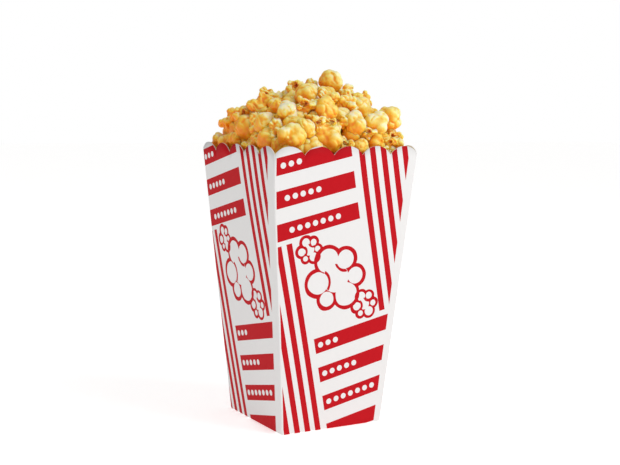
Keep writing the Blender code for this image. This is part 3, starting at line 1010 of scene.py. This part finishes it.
# Partly butter and partly painted shade: the hollows between the bubbles go deeper gold, their tops paler.
standing = node(corn, "ShaderNodeMapRange", {
    "Value": cavities, "From Min": HOLLOW_DEPTHS[0], "From Max": HOLLOW_DEPTHS[1],
    "To Max": BUBBLE_WEIGHT,
})
coating = node(corn, "ShaderNodeTexNoise", {"Vector": corn_place, "Scale": 1 / BUTTER_PATCH, "Detail": 1.0})
butter_and_crease_shade = node(corn, "ShaderNodeMath", {
    0: coating.outputs["Fac"], 1: PATCH_WEIGHT, 2: standing.outputs["Result"],
}, operation="MULTIPLY_ADD")
# Painted shade: the sides turned away from the lamp are made deeper gold.
side_shaded = node(corn, "ShaderNodeMath", {
    0: painted_side_shades, 1: -SIDE_SHADE_WEIGHT, 2: butter_and_crease_shade.outputs[0],
}, operation="MULTIPLY_ADD")
tinted = node(corn, "ShaderNodeMath", {
    0: tints, 1: TINT_WEIGHT, 2: side_shaded.outputs[0],
}, operation="MULTIPLY_ADD")
patches = node(corn, "ShaderNodeTexNoise", {
    "Vector": corn_place, "Scale": 1 / FINE_PATCH, "Detail": 3.0, "Roughness": 0.6,
})
uneven = node(corn, "ShaderNodeMath", {
    0: patches.outputs["Fac"], 1: FINE_WEIGHT, 2: tinted.outputs[0],
}, operation="MULTIPLY_ADD")
paleness = node(corn, "ShaderNodeMath", {0: uneven.outputs[0], 1: DEEPENING}, operation="SUBTRACT")
ramp = node(corn, "ShaderNodeValToRGB", {"Fac": paleness.outputs[0]})
stops = ramp.color_ramp.elements
stops[0].color = linear(GOLD)
stops[1].color = linear(PALE_CREAM)
stops.new(CREAM_STOP).color = linear(CREAM)
stops.new(BUTTER_STOP).color = linear(BUTTER)
flecks = node(corn, "ShaderNodeTexNoise", {"Vector": corn_place, "Scale": 1 / TOAST_FLECK, "Detail": 3.0})
toast = node(corn, "ShaderNodeMath", {
    0: flecks.outputs["Fac"], 1: TOAST_WEIGHT, 2: hearts,
}, operation="MULTIPLY_ADD")
amber_share = node(corn, "ShaderNodeMapRange", {
    "Value": toast.outputs[0], "From Min": AMBER_TOAST[0], "From Max": AMBER_TOAST[1],
})
hull_share = node(corn, "ShaderNodeMapRange", {
    "Value": toast.outputs[0], "From Min": HULL_TOAST[0], "From Max": HULL_TOAST[1],
})
ambered = node(corn, "ShaderNodeMix", {
    "Factor": amber_share.outputs["Result"], "A": ramp.outputs["Color"], "B": linear(AMBER),
}, data_type="RGBA")
skin_colour = node(corn, "ShaderNodeMix", {
    "Factor": hull_share.outputs["Result"], "A": ambered.outputs["Result"], "B": linear(HULL),
}, data_type="RGBA")
corn.links.new(skin_colour.outputs["Result"], corn_shader.inputs["Base Color"])
corn_shader.inputs["Roughness"].default_value = 0.48
corn_shader.inputs["Subsurface Weight"].default_value = 0.85
corn_shader.inputs["Subsurface Radius"].default_value = (1.0, 0.78, 0.26)
corn_shader.inputs["Subsurface Scale"].default_value = 0.0038
foam_grain = node(corn, "ShaderNodeTexNoise", {"Vector": corn_place, "Scale": 1 / FOAM_GRAIN, "Detail": 3.0})
foam_bump = node(corn, "ShaderNodeBump", {
    "Height": foam_grain.outputs["Fac"], "Strength": 0.25, "Distance": 0.0004,
})
corn.links.new(foam_bump.outputs["Normal"], corn_shader.inputs["Normal"])


def lay_out(name, copies, shelf, finish):
    """Lays copies of a shelf's shapes, each (place, width, number, turn, paleness), as one plain mesh."""
    points = bpy.data.meshes.new("points")
    points.from_pydata([copy[0] for copy in copies], [], [])
    widths = points.attributes.new("width", "FLOAT", "POINT")
    widths.data.foreach_set("value", [copy[1] for copy in copies])
    numbers = points.attributes.new("shape", "INT", "POINT")
    numbers.data.foreach_set("value", [copy[2] for copy in copies])
    turns = points.attributes.new("turn", "FLOAT_VECTOR", "POINT")
    turns.data.foreach_set("vector", [angle for copy in copies for angle in copy[3]])
    tints = points.attributes.new("tint", "FLOAT", "POINT")
    tints.data.foreach_set("value", [copy[4] for copy in copies])
    item = bpy.data.objects.new("points", points)
    scene.collection.objects.link(item)
    nodes_modifier(item, heap, {"Kernels": shelf, "Finish": finish})
    piece = bpy.data.objects.new(name, plain_mesh(item))
    piece.data.shade_smooth()
    scene.collection.objects.link(piece)
    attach(piece, "root")
    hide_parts("popcorn")


def settled(kernels, kind, shelf):
    """The kernels of one kind, clear of the card, in the form that lay_out takes."""
    meshes = [item.data for item in shelf.objects]
    copies = []
    for centre, width, its_kind, number, turn, paleness in kernels:
        if its_kind == kind:
            place = shifted_in(centre, width, turn, meshes[number])
            copies.append((place, width, number, turn, paleness))
    return copies


# A few small ones lie loose on the others in front, with their hull outwards. The numbers are
# millimetres right, back and above the rim, width, number of the shape, and paleness as above
LOOSE_BITS = (
    (21, -50, 15, 10, 2, 0.8),
    (38, -51, 8, 10, 5, 0.1),
    (-20, -49, 21, 11, 7, 0.7),
    (-8, -47, 22, 9, 1, 0.2),
    (45, -45, 12, 12, 6, 0.4),
    (-49, 9, 26, 14, 4, -0.2),
    (-31, 7, 40, 11, 2, 0.2),
    (2, -50, 7, 11, 6, 0.3),
)
outer = heap_kernels()
loose = []
for x, y, z, width, number, pale in LOOSE_BITS:
    centre = Vector((x / 1000, y / 1000, RIM_HEIGHT + z / 1000))
    loose.append((centre, width / 1000, BUTTERFLY, number, HULL_FORWARD, pale))
mushrooms = kernel_shelf("mushroom_shapes", MUSHROOM, FOAM_VOXEL)
butterflies = kernel_shelf("butterfly_shapes", BUTTERFLY, FOAM_VOXEL)
caps = settled(outer, MUSHROOM, mushrooms)
wings = settled(outer + loose, BUTTERFLY, butterflies)
lay_out("mushroom_kernels", caps, mushrooms, popped_corn)
lay_out("butterfly_kernels", wings[::2], butterflies, popped_corn)
lay_out("torn_kernels", wings[1::2], butterflies, popped_corn)


# Hull: where a kernel burst, the coat of the seed is left round its heart as a torn collar of thin,
# stiff flakes. The foam that came out of the seed holds them by their roots.
HULL_SHAPES = 5
HULL_FLAKES = 4
HULL_STEPS = 4
HULL_WIDTH = 0.29  # of the kernel's width, as the next two
HULL_RING = 0.12
HULL_THICK = 0.012
HULL_LEAN = 0.55
HULL_CURL = 0.9
HULL_LONG_CURL = 0.4  # the other way's share of the curl
HULL_CORNERS = 2.0  # how far the corners are rounded off
HULL_RAGGED = (0.8, 1.15)
FLAKE_SWAY = 0.3
FLAKE_TWIST = 0.5
FLAKE_PLACES = (0.7, 1.3)
FLAKE_SIZES = (0.6, 1.1)
OPEN_HEART = 0.6
HULL_SEED = 5


def hull_flake(number):
    """One curved flake of about unit width, with a ragged edge."""
    draw = random.Random(f"hull {number}")
    sheet = bmesh.new()
    bmesh.ops.create_grid(sheet, x_segments=HULL_STEPS, y_segments=HULL_STEPS, size=0.5)
    for vertex in sheet.verts:
        x, y = vertex.co.x, vertex.co.y
        reach = (1 - HULL_CORNERS * abs(x) * abs(y)) * draw.uniform(*HULL_RAGGED)
        vertex.co = (x * reach, y * reach, (x * x + y * y * HULL_LONG_CURL) * HULL_CURL)
    item = bpy.data.objects.new("flake", bpy.data.meshes.new("flake"))
    sheet.to_mesh(item.data)
    sheet.free()
    scene.collection.objects.link(item)
    skin_thick = item.modifiers.new("skin", "SOLIDIFY")
    skin_thick.thickness = HULL_THICK / HULL_WIDTH
    skin_thick.offset = 0
    return plain_mesh(item)


def heart_spot(mesh):
    """The bottom of a shape's open heart, or nothing where it has none."""
    values = mesh.attributes["heart"].data
    spots = [vertex.co for vertex, value in zip(mesh.vertices, values) if value.value > OPEN_HEART]
    return sum(spots, Vector()) / len(spots) if spots else None


def hull_collars(copies, shelf):
    """The flakes round the hearts of these kernels."""
    draw = random.Random(HULL_SEED)
    spots = [heart_spot(item.data) for item in shelf.objects]
    flakes = []
    for place, width, number, turn, _ in copies:
        if spots[number] is None:
            continue
        axis = turn.to_matrix() @ Vector((0, 0, -1))
        side = axis.orthogonal().normalized()
        for step in range(HULL_FLAKES):
            angle = math.tau * (step + draw.uniform(-FLAKE_SWAY, FLAKE_SWAY)) / HULL_FLAKES
            radial = Matrix.Rotation(angle, 3, axis) @ side
            spot = place + turn.to_matrix() @ spots[number] * width
            spot += radial * HULL_RING * width * draw.uniform(*FLAKE_PLACES)
            twist = Euler((0, 0, draw.uniform(-FLAKE_TWIST, FLAKE_TWIST))).to_quaternion()
            flake_turn = (axis * HULL_LEAN - radial).to_track_quat("Z", "Y") @ twist
            size = HULL_WIDTH * width * draw.uniform(*FLAKE_SIZES)
            shape = draw.randrange(HULL_SHAPES)
            flakes.append((spot, size, shape, flake_turn.to_euler(), draw.uniform(-1, 1)))
    return flakes


# Corn hull, the dried coat of the seed: glossy and red-brown, and the light comes through its edges.
DARK_HULL = "#BC4C18"
LIT_HULL = "#F09038"
HULL_CLOUD = 0.002
HULL_TINT = 0.3
corn_hull = bpy.data.materials.new("torn_corn_hull")
corn_hull.use_nodes = True
hull_tree = corn_hull.node_tree
hull_shader = hull_tree.nodes["Principled BSDF"]
hull_tints = node(hull_tree, "ShaderNodeAttribute", attribute_name="tint").outputs["Fac"]
hull_place = node(hull_tree, "ShaderNodeTexCoord").outputs["Object"]
hull_cloud = node(hull_tree, "ShaderNodeTexNoise", {
    "Vector": hull_place, "Scale": 1 / HULL_CLOUD, "Detail": 2.0,
})
hull_shade = node(hull_tree, "ShaderNodeMath", {
    0: hull_tints, 1: HULL_TINT, 2: hull_cloud.outputs["Fac"],
}, operation="MULTIPLY_ADD")
hull_colour = node(hull_tree, "ShaderNodeMix", {
    "Factor": hull_shade.outputs[0], "A": linear(DARK_HULL), "B": linear(LIT_HULL),
}, data_type="RGBA")
hull_tree.links.new(hull_colour.outputs["Result"], hull_shader.inputs["Base Color"])
hull_shader.inputs["Roughness"].default_value = 0.28
hull_shader.inputs["Subsurface Weight"].default_value = 0.3
hull_shader.inputs["Subsurface Radius"].default_value = (1.0, 0.4, 0.1)
hull_shader.inputs["Subsurface Scale"].default_value = 0.0008
hulls = bpy.data.collections.new("hull_shapes")
for number in range(HULL_SHAPES):
    hulls.objects.link(bpy.data.objects.new(f"hull_{number:02d}", hull_flake(number)))
lay_out("hull_flakes", hull_collars(wings, butterflies), hulls, corn_hull)


# The kernels at the rim: the edge of the heap, tucked in behind the card on all four sides. They are
# of the same two kinds of foam, and little more than their tops shows over the scallops.
RIM_ROW = 0.049
RIM_STEP = 0.0098
RIM_PLACES = 11
RIM_SWAY = 0.002
RIM_SINK = (-0.005, 0.003)
RIM_WIDTHS = (0.0140, 0.0180)
RIM_CLOSENESS = 0.30
RIM_PALENESS = (-0.4, 0.8)
COARSE_WINGS = FOAM_VOXEL * 1.8
COARSE_CAPS = FOAM_VOXEL * 1.85
draw = random.Random(SEED + 3)
tucked = []
for side in range(4):
    for place in range(RIM_PLACES):
        sideways = (place - (RIM_PLACES - 1) / 2) * RIM_STEP + draw.uniform(-RIM_SWAY, RIM_SWAY)
        centre = Matrix.Rotation(side * math.pi / 2, 3, "Z") @ Vector((sideways, -RIM_ROW, 0))
        centre.z = RIM_HEIGHT + draw.uniform(*RIM_SINK)
        width = draw.uniform(*RIM_WIDTHS)
        kind = draw.choice((MUSHROOM, BUTTERFLY))
        number = draw.randrange(FORMS[kind]["shapes"])
        turn = Euler([draw.uniform(-math.pi, math.pi) for _ in range(3)])
        if all((centre - other[0]).length > RIM_CLOSENESS * (width + other[1]) for other in outer):
            tucked.append((centre, width, kind, number, turn, draw.uniform(*RIM_PALENESS)))
coarse_wings = kernel_shelf("coarse_butterfly_shapes", BUTTERFLY, COARSE_WINGS)
coarse_caps = kernel_shelf("coarse_mushroom_shapes", MUSHROOM, COARSE_CAPS)
lay_out("tucked_mushrooms", settled(tucked, MUSHROOM, coarse_caps), coarse_caps, popped_corn)
lay_out("tucked_butterflies", settled(tucked, BUTTERFLY, coarse_wings), coarse_wings, popped_corn)


# The small kernels: round ones that slipped down between the others, and lie under the outer layer.
# They are the same foam, popped smaller, and they close the gaps through which the core would show.
UNDER_DROP = 0.0055
UNDER_LOWEST = -0.12
UNDER_CLOSENESS = 0.34
UNDER_WIDTHS = (0.0115, 0.0165)
UNDER_PALENESS = (-0.6, 0.4)
UNDER_THROWS = 2500
draw = random.Random(SEED + 1)
under = []
for _ in range(UNDER_THROWS):
    direction = direction_of(draw.uniform(UNDER_LOWEST, 1), draw.uniform(-math.pi, math.pi))
    centre = dome_point(direction, UNDER_DROP)
    width = draw.uniform(*UNDER_WIDTHS)
    if all((centre - other[0]).length > UNDER_CLOSENESS * (width + other[1]) for other in under):
        turn = Euler([draw.uniform(-math.pi, math.pi) for _ in range(3)])
        number = draw.randrange(FORMS[MUSHROOM]["shapes"])
        under.append((centre, width, MUSHROOM, number, turn, draw.uniform(*UNDER_PALENESS)))
lay_out("small_flakes", settled(under, MUSHROOM, coarse_caps), coarse_caps, popped_corn)


# The heap's inside: popcorn packed together, which shows only as gold at the bottom of the gaps. It
# fills the carton to its base, and rises under the kernels in a smooth dome.
CORE_EDGE = 0.010
CORE_RISE = 0.046
CORE_SPREAD = 1.38
CORE_STEPS = 48
core_mesh = bmesh.new()
bmesh.ops.create_grid(core_mesh, x_segments=CORE_STEPS, y_segments=CORE_STEPS, size=1)
edge_height = RIM_HEIGHT - CORE_EDGE
edge_half = inner_half(edge_height)
for vertex in core_mesh.verts:
    x = math.sin(vertex.co.x * math.pi / 2)
    y = math.sin(vertex.co.y * math.pi / 2)
    level = dome_level(min(abs(x) * CORE_SPREAD, 1), min(abs(y) * CORE_SPREAD, 1))
    vertex.co = (x * edge_half, y * edge_half, edge_height + CORE_RISE * level)
core_edges = [edge for edge in core_mesh.edges if edge.is_boundary]
lower = bmesh.ops.extrude_edge_only(core_mesh, edges=core_edges)["geom"]
base_height = 2 * CARD + 2 * CLEAR
shrink = inner_half(base_height) / edge_half
for vertex in (item for item in lower if isinstance(item, bmesh.types.BMVert)):
    vertex.co = (vertex.co.x * shrink, vertex.co.y * shrink, base_height)
bmesh.ops.contextual_create(core_mesh, geom=[item for item in lower if isinstance(item, bmesh.types.BMEdge)])
bmesh.ops.recalc_face_normals(core_mesh, faces=core_mesh.faces)
core = bpy.data.objects.new("popcorn_core", bpy.data.meshes.new("popcorn_core"))
core_mesh.to_mesh(core.data)
core_mesh.free()
core.data.shade_smooth()

# Butter-soaked crumb: broken foam with the butter that ran down to it, gold, matt and uneven.
DEEP_CRUMB = "#F2A93C"
PALE_CRUMB = "#FCD878"
CRUMB_GRAIN = 0.004
core_corn = bpy.data.materials.new("butter_soaked_crumb")
core_corn.use_nodes = True
crumb = core_corn.node_tree
crumb_place = node(crumb, "ShaderNodeTexCoord").outputs["Object"]
crumb_grain = node(crumb, "ShaderNodeTexNoise", {
    "Vector": crumb_place, "Scale": 1 / CRUMB_GRAIN, "Detail": 4.0,
})
crumb_colour = node(crumb, "ShaderNodeMix", {
    "Factor": crumb_grain.outputs["Fac"], "A": linear(DEEP_CRUMB), "B": linear(PALE_CRUMB),
}, data_type="RGBA")
crumb_shader = crumb.nodes["Principled BSDF"]
crumb.links.new(crumb_colour.outputs["Result"], crumb_shader.inputs["Base Color"])
crumb_shader.inputs["Roughness"].default_value = 0.7
core.data.materials.append(core_corn)
scene.collection.objects.link(core)
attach(core, "root")
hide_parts("popcorn")
